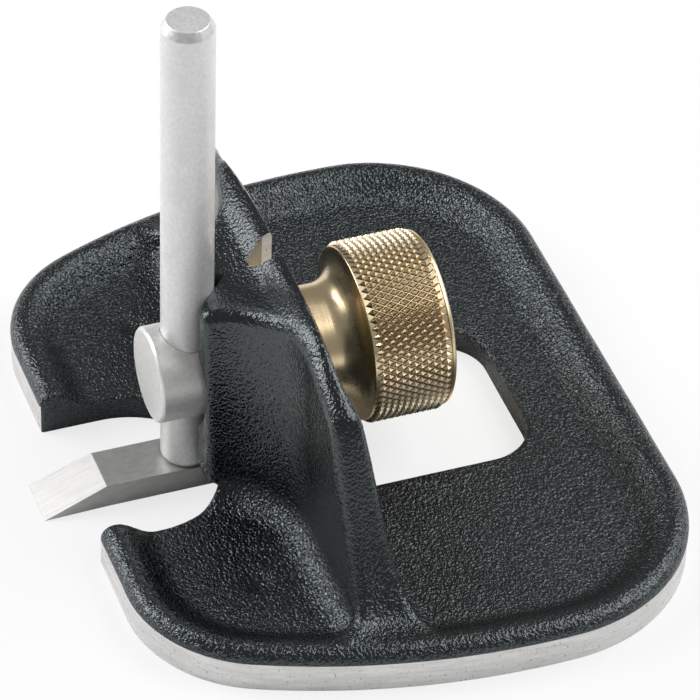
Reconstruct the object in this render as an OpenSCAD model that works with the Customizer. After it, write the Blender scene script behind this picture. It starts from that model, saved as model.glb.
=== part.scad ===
// Small hand router plane: an iron casting that slides on its sole, with a
// square-ended blade held in a groove by a collar, a stud and a brass knob.
// Millimetres, sole at z = 0, blade pointing to -Y, +Z up. Sizes along Y in
// this file count from the axis of the blade's round shank, and in_frame()
// moves everything so that the origin is the middle of the footprint.

/* [Body casting] */
// Overall width of the casting
body_w = 84.6; // [80:0.1:90]
// From the blade axis forward to the front edge
body_front = 13.8; // [12.5:0.1:15]
// From the blade axis back to the rear edge
body_rear = 50.6; // [48:0.1:54]
// Radius of the long curve of each side
side_r = 84; // [76:1:92]
// From the blade axis back to the widest point
side_mid = 28.4; // [26:0.1:30]
// Radius of the front corners
front_corner_r = 16; // [14:0.5:18]
// Radius of the rear corners
rear_corner_r = 20; // [17:0.5:22]
// Height of the bright machined band around the flank
band_h = 3.7; // [3.4:0.1:4.2]
// Rise of the rounded rim above that band
rim_rise = 1.6; // [1.2:0.1:2]
// From the flank in to the highest line of the rim
rim_in = 1.7; // [1.3:0.1:2.2]
// Width of the slope from that line down to the dished floor
rim_fall = 4.8; // [4:0.1:5.6]
// Thickness of the dished floor
floor_t = 3; // [2.6:0.1:3.2]

/* [Mouth and window] */
// Width of the mouth, open at the front
mouth_w = 22.6; // [20:0.1:24]
// Air left between the heel of the blade and the mouth's round end
heel_gap = 1.6; // [1.3:0.1:2]
// Width of the window behind the wall
window_w = 23.5; // [20:0.1:25]
// From the blade axis back to the window's rear edge
window_rear = 38.5; // [36:0.1:40]
// Corner radius of the window
window_r = 5.8; // [4:0.1:7]

/* [Wall and post] */
// Height of the wall at its middle, on its rear face
crest_z = 30.4; // [29.4:0.1:33]
// How much lower the crest is where it turns down to the rim
crest_fall = 4.4; // [3.5:0.1:5.5]
// From the middle out to where the crest turns down
shoulder_x = 24.5; // [22.5:0.1:26]
// From the blade axis back to the wall's rear face
wall_rear = 10.5; // [10:0.1:11.5]
// Thickness of the wall
wall_t = 2.3; // [1.9:0.1:2.6]
// How much thicker the wall gets towards where its crest turns down
wall_thicken = 2.4; // [1.8:0.1:2.8]
// How far the wall then spreads back where it runs out into the rim
wall_spread = 3.8; // [3:0.1:4.5]
// Rounding of the rear edge where the crest turns down
ridge_round = 1.4; // [0.8:0.1:1.6]
// Radius of the wall's fillets at the floor
wall_fillet = 3.5; // [2.8:0.1:3.8]
// Fall of the top face from the rear of the wall to the front of the post
top_fall = 3; // [2.4:0.1:3.4]
// Width of the post's front face at the top
post_top_w = 11.4; // [10.4:0.1:12.4]
// Width of the post's front face at the floor
post_foot_w = 16.8; // [15.6:0.1:18]
// How far each side of the post flares to meet the wall
post_flare = 9; // [7:0.1:10]
// Width of the spare groove in the wall's rear face
rear_groove_w = 5.2; // [4:0.1:5.6]
// Diameter of the shallow round witness mark in each front dish
mark_d = 3.3; // [2.5:0.1:4]
// From the middle out to that mark
mark_x = 22.8; // [21:0.1:24]

/* [Clamp] */
// Height of the clamp axis above the sole
clamp_z = 15.6; // [15:0.1:16.4]
// Diameter of the collar
collar_d = 11; // [10.4:0.1:11.6]
// Metal of the collar in front of the shank
collar_front = 1.6; // [1.3:0.1:2]
// Metal of the collar behind the shank
collar_back = 1.3; // [1.1:0.1:1.5]
// Diameter of the stud
stud_d = 6.2; // [5.6:0.1:6.4]

/* [Knob] */
// Diameter of the smooth neck
neck_d = 12.8; // [12:0.1:13.4]
// Straight length of the neck
neck_len = 5.2; // [4.6:0.1:5.8]
// Length of the concave flare between neck and head
flare_len = 3; // [2.6:0.1:3.6]
// Diameter over the knurl
head_d = 20.9; // [20:0.1:21.6]
// Length of the knurled band
knurl_len = 8.9; // [8:0.1:10]
// Spacing of the diamonds along the band
knurl_pitch = 1.55; // [1.35:0.05:1.75]
// Number of diamonds around the band
knurl_count = 70; // [60:1:80]
// Depth of the diamonds
knurl_depth = 0.35; // [0.25:0.01:0.45]
// Length of the smooth bevel at the rear end
end_bevel = 1.2; // [0.8:0.1:1.6]
// Width of the plain land in front of the knurl
head_land = 0.3; // [0.2:0.1:0.8]
// Solid brass left behind the threaded hole
knob_back = 3.6; // [3:0.1:5]

/* [Blade] */
// Diameter of the round shank
shank_d = 5.95; // [5.6:0.05:6.1]
// Height of the shank's top end above the sole
shank_top = 63.9; // [58:0.1:70]
// Height of the chamfer at the top end
chamfer_h = 1; // [0.6:0.1:1.4]
// Width of the chamfer at the top end
chamfer_w = 0.6; // [0.4:0.1:0.8]
// Diameter of the shank's spigot in the foot
spigot_d = 4.6; // [4.2:0.1:5]
// Thickness of the foot
foot_t = 3; // [2.7:0.1:3.2]
// Width of the foot at the heel
foot_w = 6; // [5.6:0.1:6.3]
// Width of the cutting edge
edge_w = 6.4; // [6.2:0.1:6.8]
// From the blade axis forward to the cutting edge
edge_reach = 17.7; // [16.5:0.1:19]
// Length of the bevel behind the cutting edge
bevel_len = 7.4; // [6.6:0.1:8]
// How far the foot may rise from its rest height
blade_lift = 1.5; // [1.2:0.1:1.8]

/* [Fits] */
// Running clearance, on the radius
run_gap = 0.05; // [0.03:0.01:0.08]
// Air around what passes through the casting, on the radius
pass_gap = 0.3; // [0.2:0.05:0.4]
// Air around the collar in its recess, on the radius
recess_gap = 1.1; // [0.9:0.1:1.3]
// Height of the foot above the sole at rest
rest_gap = 0.1; // [0.05:0.01:0.2]

/* [Hidden] */
$fn = 96;

iron_black = [0.13, 0.14, 0.15];
steel_grey = [0.72, 0.72, 0.70];
ground_grey = [0.55, 0.54, 0.52];
brass_gold = [0.80, 0.63, 0.36];

half_w = body_w / 2;
centre_y = (body_rear - edge_reach) / 2;

// Outline: one long arc a side, running tangent into a front and a rear corner arc
side_c = [half_w - side_r, side_mid];
front_cy = front_corner_r - body_front;
rear_cy = body_rear - rear_corner_r;
front_c = [side_c[0] + sqrt(pow(side_r - front_corner_r, 2) - pow(front_cy - side_c[1], 2)), front_cy];
rear_c = [side_c[0] + sqrt(pow(side_r - rear_corner_r, 2) - pow(rear_cy - side_c[1], 2)), rear_cy];
front_a = atan2(front_c[1] - side_c[1], front_c[0] - side_c[0]);
rear_a = atan2(rear_c[1] - side_c[1], rear_c[0] - side_c[0]);

// Rim: a round outer edge, then a soft slope down to the dished floor
rim_z = band_h + rim_rise;

// Blade, groove and collar
shank_r = shank_d / 2;
groove_apex = (shank_r + run_gap) * sqrt(2);
foot_heel = shank_r;
foot_top = rest_gap + foot_t;
collar_y0 = -shank_r - collar_front;
collar_y1 = shank_r + collar_back;
recess_floor = collar_y1 + 0.5;
recess_r = collar_d / 2 + recess_gap;
stud_r = stud_d / 2;
stud_seat = 1;

// Mouth: a slot with a full round end, and the space under the post that the foot needs
mouth_r = mouth_w / 2;
mouth_end = foot_heel + heel_gap;
relief_top = foot_top + blade_lift + pass_gap;

// Knob, along Y
knob_y0 = wall_rear + run_gap;
flare_y0 = knob_y0 + neck_len;
head_y0 = flare_y0 + flare_len;
knurl_y0 = head_y0 + head_land;
knurl_y1 = knurl_y0 + knurl_len;
knob_y1 = knurl_y1 + end_bevel;
stud_y1 = knob_y1 - knob_back - 1;

// Wall: crest height, and front and rear face, at a distance out from the middle
wall_end = half_w - rim_in - 2.2;
wall_front = wall_rear - wall_t;
function run_out(x) = min(1, max(0, (x - shoulder_x) / (wall_end - shoulder_x)));
function crest(x) = x <= shoulder_x
    ? crest_z - crest_fall * pow(x / shoulder_x, 3)
    : rim_z - 0.3 + (crest_z - crest_fall - rim_z + 0.3) * (1 + cos(180 * pow(run_out(x), 0.69))) / 2;
function face_front(x) = wall_front - 5 * pow(max(0, run_out(x) - 0.6) / 0.4, 2);
function soft_step(t) = let (u = min(1, max(0, t))) u * u * (3 - 2 * u);
function face_rear(x) = wall_rear + wall_thicken * soft_step((x - shoulder_x) / 12 + 0.54)
    + wall_spread * pow(max(0, run_out(x) - 0.35) / 0.65, 1.3);
function top_z(y) = crest_z - top_fall * (1 - pow(y / wall_rear, 2));

module in_frame() translate([0, -centre_y, 0]) children();

// Closed loft through rings of equal length. Each ring is laid out so that its
// point k faces its point n-1-k, and the end caps are strips between the two.
module loft(rings) {
    n = len(rings[0]);
    m = len(rings);
    last = (m - 1) * n;
    polyhedron(
        points = [for (r = rings) for (p = r) p],
        faces = concat(
            [for (i = [0 : m - 2]) for (k = [0 : n - 1])
                [i * n + k, (i + 1) * n + k, (i + 1) * n + (k + 1) % n]],
            [for (i = [0 : m - 2]) for (k = [0 : n - 1])
                [i * n + k, (i + 1) * n + (k + 1) % n, i * n + (k + 1) % n]],
            [for (k = [0 : n / 2 - 2]) [k, k + 1, n - 2 - k]],
            [for (k = [0 : n / 2 - 2]) [k, n - 2 - k, n - 1 - k]],
            [for (k = [0 : n / 2 - 2]) [last + k, last + n - 2 - k, last + k + 1]],
            [for (k = [0 : n / 2 - 2]) [last + k, last + n - 1 - k, last + n - 2 - k]]
        )
    );
}

// Section of the rim from the sole up: distance in from the flank, and height
rim_section = concat(
    [[0, 0]],
    [for (a = [0 : 22.5 : 90]) [rim_in * (1 - cos(a)), band_h + rim_rise * sin(a)]],
    [for (i = [1 : 6]) [rim_in + rim_fall * i / 6, floor_t + (rim_z - floor_t) * (1 + cos(30 * i)) / 2]]
);

// Outline drawn in by one distance: up the right side, then down the left
function arc(c, r, a0, a1, steps) = [for (i = [0 : steps]) let (a = a0 + (a1 - a0) * i / steps) c + r * [cos(a), sin(a)]];
function outline_side(d) = concat(
    arc(front_c, front_corner_r - d, -90, front_a, 9),
    arc(side_c, side_r - d, front_a + 2, rear_a - 2, 5),
    arc(rear_c, rear_corner_r - d, rear_a, 90, 12)
);
function outline(d, z) =
    let (side = outline_side(d))
    concat([for (p = side) [p[0], p[1], z]], [for (i = [len(side) - 1 : -1 : 0]) [-side[i][0], side[i][1], z]]);

module dished_base() loft([for (p = rim_section) outline(p[0], p[1])]);

// One section across the wall: up the front fillet and face, over the crest, down the rear
function wall_section(x) =
    let (
        ax = abs(x),
        yf = face_front(ax),
        yr = face_rear(ax),
        zc = crest(ax),
        zt = zc - 2 * min(1, (zc - rim_z + 0.4) / 8),
        base = floor_t - 0.4,
        r = min(wall_fillet, 0.75 * (zt - base)),
        front = [for (a = [-72 : 24 : 0]) [x, yf - r + r * cos(a), base + r + r * sin(a)]],
        rear = [for (a = [0 : -24 : -72]) [x, yr + r - r * cos(a), base + r + r * sin(a)]],
        round_z = zc - zt,
        edge = min(0.3 + (ridge_round - 0.3) * soft_step((ax - shoulder_x) / 6 + 0.9), 0.4 * (zc - base - r))
    )
    concat(
        [[x, yf - r * 0.9, 1]],
        front,
        [[x, yf, zt], [x, yf + 0.4, zt + 0.6 * round_z]],
        [[x, yf + 1.1, zt + 0.8 * round_z]],
        [[x, yr - edge, zc], [x, yr - 0.29 * edge, zc - 0.29 * edge], [x, yr, zc - edge]],
        rear,
        [[x, yr + r * 0.9, 1]]
    );

module wall() {
    half = concat(
        [for (i = [0 : 5]) shoulder_x * i / 5],
        [for (i = [1 : 10]) shoulder_x + (wall_end - shoulder_x) * pow(i / 10, 1.15)]
    );
    last = len(half) - 1;
    intersection() {
        loft(concat(
            [for (i = [last : -1 : 1]) wall_section(half[i])],
            [for (x = half) wall_section(-x)]
        ));
        loft([outline(rim_in, 0), outline(rim_in, 2 * crest_z)]);
    }
}

// Plan of the post at one height: front face, flared sides, and a back inside the wall
function post_plan(z) =
    let (
        up = min(1, max(0, (z - floor_t) / (crest_z - top_fall - floor_t))),
        half_front = (post_foot_w + (post_top_w - post_foot_w) * up) / 2,
        h = min(wall_fillet, max(0, z - floor_t + 0.4)),
        foot = wall_fillet - sqrt(pow(wall_fillet, 2) - pow(wall_fillet - h, 2)),
        over = max(0, z - (crest_z - top_fall - 1)),
        trim = 0.25 * over * over,
        side = [for (t = [0 : 1 / 7 : 1.001])
            [half_front + post_flare * pow(t, 2.2) + foot - trim * t, (wall_front + 0.5) * t]]
    )
    concat(
        [for (p = side) [p[0], p[1], z]],
        [[side[7][0], wall_rear - 0.8, z]],
        [[-side[7][0], wall_rear - 0.8, z]],
        [for (k = [7 : -1 : 0]) [-side[k][0], side[k][1], z]]
    );

module post() {
    low = [0.6, floor_t, floor_t + 0.5, floor_t + 1.2, floor_t + 2.2, floor_t + wall_fillet];
    high = [crest_z - top_fall - 9, crest_z - top_fall - 1, crest_z - top_fall, crest_z - 1.6, crest_z + 1];
    difference() {
        loft([for (z = concat(low, high)) post_plan(z)]);
        rotate([90, 0, 90]) linear_extrude(60, center = true)
            polygon(concat(
                [[-1, top_z(0) - 1], [0, top_z(0) - 0.6], [0.6, top_z(0)]],
                [for (y = [1.5 : 1.5 : wall_rear]) [y, top_z(y)]],
                [[wall_rear + 1, crest_z], [wall_rear + 1, crest_z + 5], [-1, crest_z + 5]]
            ));
    }
}

// Mouth: open through the rim in front, and only as high as the foot needs under the post
module mouth_cut() {
    translate([0, mouth_end - mouth_r, -1]) cylinder(r = mouth_r, h = relief_top + 1);
    translate([-mouth_r, -body_front - 1, -1]) cube([mouth_w, body_front + 1 + mouth_end - mouth_r, rim_z + 2]);
}

module window_cut() {
    x = window_w / 2 - window_r;
    y0 = wall_rear + pass_gap;
    translate([0, 0, -1]) linear_extrude(wall_fillet + floor_t + 1) {
        for (sx = [-1, 1]) {
            translate([sx * x, window_rear - window_r]) circle(window_r);
            translate([sx * x, y0 + window_r]) circle(window_r);
        }
        translate([-x, y0]) square([2 * x, window_rear - y0]);
        translate([-window_w / 2, y0 + window_r]) square([window_w, window_rear - y0 - 2 * window_r]);
    }
}

// Square-sided groove along Z, its apex at one point and its mouth turned to -Y
module v_groove(apex_y, depth, z0, z1) {
    translate([0, apex_y, z0]) linear_extrude(z1 - z0)
        polygon([[0, 0], [-depth, -depth], [depth, -depth]]);
}

module body_casting() {
    color(iron_black) in_frame() difference() {
        union() {
            dished_base();
            wall();
            post();
        }
        mouth_cut();
        window_cut();
        v_groove(groove_apex, groove_apex + 1, -1, crest_z + 1);
        mirror([0, 1, 0]) v_groove(-(wall_rear - rear_groove_w / 2), rear_groove_w / 2 + 1, -1, crest_z + 1);
        translate([0, -1, clamp_z]) rotate([-90, 0, 0]) cylinder(r = recess_r, h = recess_floor + 1);
        translate([0, 0, clamp_z]) rotate([-90, 0, 0]) cylinder(r = stud_r + pass_gap, h = wall_rear + 5);
        for (sx = [-1, 1])
            translate([sx * mark_x, 0.8, floor_t - 0.25]) cylinder(d = mark_d, h = 2);
    }
}

module clamp_collar() {
    color(steel_grey) in_frame() difference() {
        translate([0, collar_y0, clamp_z]) rotate([-90, 0, 0]) rotate_extrude() polygon([
            [0, 0], [collar_d / 2 - 0.25, 0], [collar_d / 2, 0.25],
            [collar_d / 2, collar_y1 - collar_y0 - 0.25], [collar_d / 2 - 0.25, collar_y1 - collar_y0],
            [0, collar_y1 - collar_y0]
        ]);
        translate([0, 0, clamp_z - collar_d]) cylinder(r = shank_r + run_gap, h = 2 * collar_d);
        translate([0, collar_y1 - stud_seat, clamp_z]) rotate([-90, 0, 0]) cylinder(r = stud_r, h = stud_seat + 1);
    }
}

module clamp_stud() {
    y0 = collar_y1 - stud_seat;
    color(steel_grey) in_frame() translate([0, y0, clamp_z]) rotate([-90, 0, 0]) rotate_extrude() polygon([
        [0, 0], [stud_r, 0], [stud_r, stud_y1 - y0 - 0.6], [stud_r - 0.6, stud_y1 - y0], [0, stud_y1 - y0]
    ]);
}

// Band of crossed grooves: every other point of a fine grid stands proud
module knurl_band(r, length, pitch, count, depth) {
    rows = 2 * round(length / pitch);
    cols = 2 * count;
    step = length / rows;
    top = (rows + 1) * cols;
    polyhedron(
        points = concat(
            [for (j = [0 : rows]) for (i = [0 : cols - 1])
                let (a = 180 * i / count, q = (i + j) % 2 == 0 ? r - depth : r)
                [q * cos(a), q * sin(a), j * step]],
            [[0, 0, 0], [0, 0, length]]
        ),
        faces = concat(
            [for (j = [0 : rows - 1]) for (i = [0 : cols - 1])
                let (a = j * cols + i, b = j * cols + (i + 1) % cols, c = b + cols, d = a + cols)
                (i + j) % 2 == 0 ? [a, c, b] : [a, d, b]],
            [for (j = [0 : rows - 1]) for (i = [0 : cols - 1])
                let (a = j * cols + i, b = j * cols + (i + 1) % cols, c = b + cols, d = a + cols)
                (i + j) % 2 == 0 ? [a, d, c] : [b, d, c]],
            [for (i = [0 : cols - 1]) [i, (i + 1) % cols, top]],
            [for (i = [0 : cols - 1]) [rows * cols + (i + 1) % cols, rows * cols + i, top + 1]]
        )
    );
}

module clamp_knob() {
    neck_r = neck_d / 2;
    root_r = head_d / 2 - knurl_depth;
    land_r = root_r - 0.05;
    core_r = root_r - 0.3;
    flare = land_r - 0.5 - neck_r;
    y = function(v) v - knob_y0;
    color(brass_gold) in_frame() translate([0, knob_y0, clamp_z]) rotate([-90, 0, 0]) difference() {
        union() {
            rotate_extrude() polygon(concat(
                [[0, 0], [neck_r - 0.3, 0], [neck_r, 0.3]],
                [for (a = [0 : 15 : 75]) [neck_r + flare * (1 - cos(a)), y(flare_y0) + flare_len * sin(a)]],
                [[land_r - 0.5, y(head_y0)], [land_r, y(head_y0) + 0.4], [land_r, y(knurl_y0) + 0.3]],
                [[core_r, y(knurl_y0) + 0.3], [core_r, y(knurl_y1) - 0.3], [land_r, y(knurl_y1) - 0.3]],
                [[land_r, y(knurl_y1) + 0.2], [land_r - 1, y(knob_y1)], [0, y(knob_y1)]]
            ));
            translate([0, 0, y(knurl_y0)])
                knurl_band(head_d / 2, knurl_len, knurl_pitch, knurl_count, knurl_depth);
        }
        translate([0, 0, -1]) cylinder(r = stud_r + run_gap, h = y(knob_y1) - knob_back + 1);
    }
}

module blade_shank() {
    z0 = foot_top;
    color(steel_grey) in_frame() union() {
        translate([0, 0, z0]) cylinder(r = shank_r, h = shank_top - chamfer_h - z0);
        translate([0, 0, shank_top - chamfer_h]) cylinder(r1 = shank_r, r2 = shank_r - chamfer_w, h = chamfer_h);
        translate([0, 0, rest_gap + 0.8]) cylinder(r = spigot_d / 2, h = z0);
    }
}

module blade_foot() {
    w = foot_w / 2;
    e = edge_w / 2;
    back = bevel_len - edge_reach;
    color(ground_grey) in_frame() difference() {
        polyhedron(
            points = [
                [w, foot_heel, rest_gap], [-w, foot_heel, rest_gap], [-w, foot_heel, foot_top], [w, foot_heel, foot_top],
                [w, back, rest_gap], [-w, back, rest_gap], [-w, back, foot_top], [w, back, foot_top],
                [e, -edge_reach, rest_gap], [-e, -edge_reach, rest_gap]
            ],
            faces = [
                [0, 3, 2, 1], [3, 7, 6, 2], [7, 8, 9, 6], [0, 1, 5, 4], [4, 5, 9, 8],
                [0, 4, 7, 3], [4, 8, 7], [1, 2, 6, 5], [5, 6, 9]
            ]
        );
        translate([0, 0, rest_gap + 0.8]) cylinder(r = spigot_d / 2, h = foot_t);
    }
}

body_casting();
clamp_collar();
clamp_stud();
clamp_knob();
blade_shank();
blade_foot();
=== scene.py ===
"""Small router plane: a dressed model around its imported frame, laid out as an add-on."""

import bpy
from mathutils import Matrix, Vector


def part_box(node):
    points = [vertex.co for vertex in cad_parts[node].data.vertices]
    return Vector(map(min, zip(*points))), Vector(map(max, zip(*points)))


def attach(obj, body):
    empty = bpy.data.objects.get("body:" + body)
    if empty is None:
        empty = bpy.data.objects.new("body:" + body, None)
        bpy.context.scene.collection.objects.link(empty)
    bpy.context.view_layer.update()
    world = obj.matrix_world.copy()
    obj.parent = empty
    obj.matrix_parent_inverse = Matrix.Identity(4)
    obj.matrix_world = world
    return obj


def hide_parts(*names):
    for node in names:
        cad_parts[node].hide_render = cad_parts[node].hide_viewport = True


bl_info = {
    "name": "Small Router Plane",
    "version": (1, 0, 0),
    "blender": (4, 5, 0),
    "location": "View3D > Sidebar > Router Plane",
    "description": "Builds a small hand router plane piece by piece around its frame",
    "category": "Add Mesh",
}

from math import atan2, ceil, cos, dist, pi, radians, sin, sqrt

import bmesh
import bpy
import numpy as np
from bpy.props import FloatProperty, FloatVectorProperty, IntProperty, PointerProperty
from bpy.types import Operator, Panel, PropertyGroup
from mathutils import Matrix, Vector

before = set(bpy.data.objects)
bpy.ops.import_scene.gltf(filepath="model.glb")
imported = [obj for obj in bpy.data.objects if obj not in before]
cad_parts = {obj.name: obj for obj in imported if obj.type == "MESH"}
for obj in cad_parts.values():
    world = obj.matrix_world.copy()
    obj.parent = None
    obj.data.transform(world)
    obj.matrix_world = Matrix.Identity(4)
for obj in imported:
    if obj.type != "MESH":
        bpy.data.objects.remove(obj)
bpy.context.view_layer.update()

MM = 0.001
ON_AXIS = 1e-6
NEARLY_STRAIGHT = radians(165)
SHANK_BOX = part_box("blade_shank")
FOOT_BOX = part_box("blade_foot")
COLLAR_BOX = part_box("clamp_collar")
STUD_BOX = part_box("clamp_stud")
KNOB_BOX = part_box("clamp_knob")
AXIS_Y = (SHANK_BOX[0][1] + SHANK_BOX[1][1]) / 2
CLAMP_Z = (COLLAR_BOX[0][2] + COLLAR_BOX[1][2]) / 2


# ---- sizes and colours


def length(about, value, low=0, high=200):
    """A length that a user may change, given in millimetres and kept in metres."""
    limits = {"min": low * MM, "max": high * MM, "subtype": "DISTANCE", "unit": "LENGTH"}
    return FloatProperty(description=about, default=value * MM, **limits)


def colour(about, value):
    """A surface colour that a user may change."""
    return FloatVectorProperty(description=about, default=value, size=3, min=0, max=1, subtype="COLOR")


def power(value):
    """A lamp's power that a user may change."""
    return FloatProperty(description="Power of this lamp", default=value, unit="POWER")


def number(about, value, low, high):
    """A count that a user may change."""
    return IntProperty(description=about, default=value, min=low, max=high)


class CastingSizes(PropertyGroup):
    cell: length("Spacing of the casting's mesh", 0.34, 0.25, 2)
    band_height: length("Height of the machined band", 3.7)
    rim_rise: length("Rise of the rounded rim above the band", 1.6)
    rim_in: length("From the flank in to the rim's highest line", 1.7)
    rim_fall: length("Width of the slope down to the floor", 4.8)
    floor: length("Thickness of the dished floor", 3.0)
    fillet: length("Radius between the wall and the floor", 3.5)
    wall_rear: length("From the blade axis back to the wall's rear face", 10.5)
    wall_thick: length("Thickness of the wall", 2.3)
    shoulder: length("From the middle out to where the crest turns down", 24.5)
    window_width: length("Width of the window behind the wall", 23.5)
    window_rear: length("From the blade axis back to the window's rear edge", 38.5)
    mouth_width: length("Width of the mouth in front", 22.6)
    peel: length("Height of the cast skin's fine waves", 0.007, 0.0, 0.1)


class KnobSizes(PropertyGroup):
    neck_radius: length("Radius of the smooth neck", 6.4)
    neck_length: length("Straight length of the neck", 5.2)
    flare_length: length("Length of the hollow flare", 3.0)
    knurl_depth: length("Height of one diamond", 0.46)
    end_bevel: length("Length of the smooth bevel at the rear end", 1.2)
    around: number("Diamonds in one row", 70, 24, 140)
    rows: number("Half-rows of diamonds along the band", 11, 4, 40)


class BladeSizes(PropertyGroup):
    top_chamfer: length("Height of the chamfer at the shank's top", 1.0)
    edge_break: length("Width of the broken edges of the foot", 0.09)
    bevel_length: length("Length of the ground bevel", 7.4)
    bore_radius: length("Radius of the collar's cross hole", 3.025)


class Finishes(PropertyGroup):
    enamel: colour("Black enamel of the casting", (0.003, 0.0035, 0.0038))
    machined: colour("Bright machined faces of the casting", (0.78, 0.775, 0.765))
    shank: colour("Satin steel of the shank", (0.80, 0.80, 0.795))
    collar: colour("Turned steel of the collar", (0.83, 0.825, 0.815))
    foot: colour("Steel of the foot", (0.51, 0.505, 0.495))
    brass: colour("Brass of the knob", (0.80, 0.64, 0.40))


class StageSettings(PropertyGroup):
    floor_size: length("Width of the floor", 4000, 500, 20000)
    key_power: power(8.0)
    fill_power: power(8.4)


def sizes(group):
    """One property group's lengths in millimetres, and its counts as they are."""
    out = {}
    for key in group.__annotations__:
        value = getattr(getattr(bpy.context.scene, "router_" + group.key_name), key)
        out[key] = value if isinstance(value, int) else value / MM
    return out


def half_width(box):
    """Half a box's width across X, in millimetres."""
    return (box[1][0] - box[0][0]) / 2 / MM


def ends(box):
    """Where a box starts and ends along Y, in millimetres from the blade axis."""
    return [(corner[1] - AXIS_Y) / MM for corner in box]


# ---- mesh helpers


def add_piece(name, vertices, faces, smooth_angle=None):
    """A mesh object in the scene, from millimetres about the blade axis."""
    points = np.asarray(vertices, dtype=float) * MM
    points[:, 1] += AXIS_Y
    mesh = bpy.data.meshes.new(name)
    mesh.from_pydata(points.tolist(), [], faces if isinstance(faces, list) else faces.tolist())
    mesh.validate()
    piece = bpy.data.objects.new(name, mesh)
    bpy.context.scene.collection.objects.link(piece)
    if smooth_angle is not None:
        shade(piece, smooth_angle)
    return piece


def shade(piece, angle):
    """Smooth shading that keeps edges sharper than the angle."""
    piece.data.shade_smooth()
    piece.data.set_sharp_from_angle(angle=radians(angle))


def modify(piece, kind, **settings):
    """Adds a modifier with its settings."""
    tool = piece.modifiers.new(kind.lower(), kind)
    for name, value in settings.items():
        setattr(tool, name, value)
    return tool


def bake(piece):
    """Puts the result of the piece's modifiers into its mesh."""
    depsgraph = bpy.context.evaluated_depsgraph_get()
    result = bpy.data.meshes.new_from_object(piece.evaluated_get(depsgraph), depsgraph=depsgraph)
    result.name = piece.name
    old = piece.data
    piece.modifiers.clear()
    piece.data = result
    bpy.data.meshes.remove(old)


def cut(piece, cutters, angle):
    """Takes each cutter out of the piece, deletes the cutters and shades the piece anew."""
    for cutter in cutters:
        modify(piece, "BOOLEAN", operation="DIFFERENCE", solver="MANIFOLD", object=cutter)
    bake(piece)
    for cutter in cutters:
        mesh = cutter.data
        bpy.data.objects.remove(cutter)
        bpy.data.meshes.remove(mesh)
    shade(piece, angle)
    weigh_normals(piece)


def weigh_normals(piece):
    """Lets large faces lead the shading next to a cut edge."""
    modify(piece, "WEIGHTED_NORMAL", keep_sharp=True, weight=80)
    bake(piece)


def outward(piece):
    """Turns a closed mesh's faces outwards."""
    work = bmesh.new()
    work.from_mesh(piece.data)
    bmesh.ops.recalc_face_normals(work, faces=work.faces)
    work.to_mesh(piece.data)
    work.free()


def new_node(tree, kind, given=(), **settings):
    """Adds a node with its settings, and its inputs linked or set to plain values."""
    node = tree.nodes.new(kind)
    for name, value in settings.items():
        setattr(node, name, value)
    for key, value in dict(given).items():
        if isinstance(value, bpy.types.NodeSocket):
            tree.links.new(value, node.inputs[key])
        else:
            node.inputs[key].default_value = value
    return node


def coat(piece, *materials):
    """Gives the piece these materials and no others."""
    piece.data.materials.clear()
    for material in materials:
        piece.data.materials.append(material)


def lathe(name, profile, at, axis="Y", steps=128, smooth_angle=30.0):
    """A closed turned solid. The profile gives (along, radius) and starts and ends on the axis."""
    angles = np.linspace(0, 2 * pi, steps, endpoint=False)
    points, rings = [], []
    for along, radius in profile:
        turns = angles if radius > ON_AXIS else [0.0]
        rings.append(range(len(points), len(points) + len(turns)))
        points += [(radius * cos(a), radius * sin(a), along) for a in turns]
    faces = []
    for low, high in zip(rings, rings[1:]):
        for k in range(steps):
            n = (k + 1) % steps
            if len(low) == 1:
                faces.append((low[0], high[n], high[k]))
            elif len(high) == 1:
                faces.append((low[k], low[n], high[0]))
            else:
                faces.append((low[k], low[n], high[n], high[k]))
    placed = np.array(points)
    if axis == "Y":
        placed = placed[:, [0, 2, 1]] * (1, 1, -1)
    return add_piece(name, placed + at, faces, smooth_angle)


def rod(name, radius, long, at, axis="Y", steps=128):
    """A plain cylinder from a point along an axis, used as a cutter."""
    return lathe(name, [(0, 0), (0, radius), (long, radius), (long, 0)], at, axis, steps)


def rounded(profile, radius):
    """The profile with each inner corner that stands off the axis rounded."""
    out = [profile[0]]
    for before, corner, after in zip(profile, profile[1:], profile[2:]):
        a, c, b = (Vector(p) for p in (before, corner, after))
        reach = min(radius, 0.45 * (a - c).length, 0.45 * (b - c).length)
        start, end = c + (a - c).normalized() * reach, c + (b - c).normalized() * reach
        bend = (a - c).angle(b - c, 0)
        if c[1] < ON_AXIS or bend > NEARLY_STRAIGHT:
            out.append(tuple(corner))
            continue
        for t in (0, 0.25, 0.5, 0.75, 1):
            out.append(tuple((1 - t) ** 2 * start + 2 * t * (1 - t) * c + t * t * end))
    out.append(profile[-1])
    return out


def prism(name, outline, low, high):
    """An upright prism over a plan outline, given counter-clockwise."""
    n = len(outline)
    points = [(x, y, low) for x, y in outline] + [(x, y, high) for x, y in outline]
    faces = [tuple(range(n - 1, -1, -1)), tuple(range(n, 2 * n))]
    faces += [(k, (k + 1) % n, n + (k + 1) % n, n + k) for k in range(n)]
    return add_piece(name, points, faces)


# ---- casting


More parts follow.
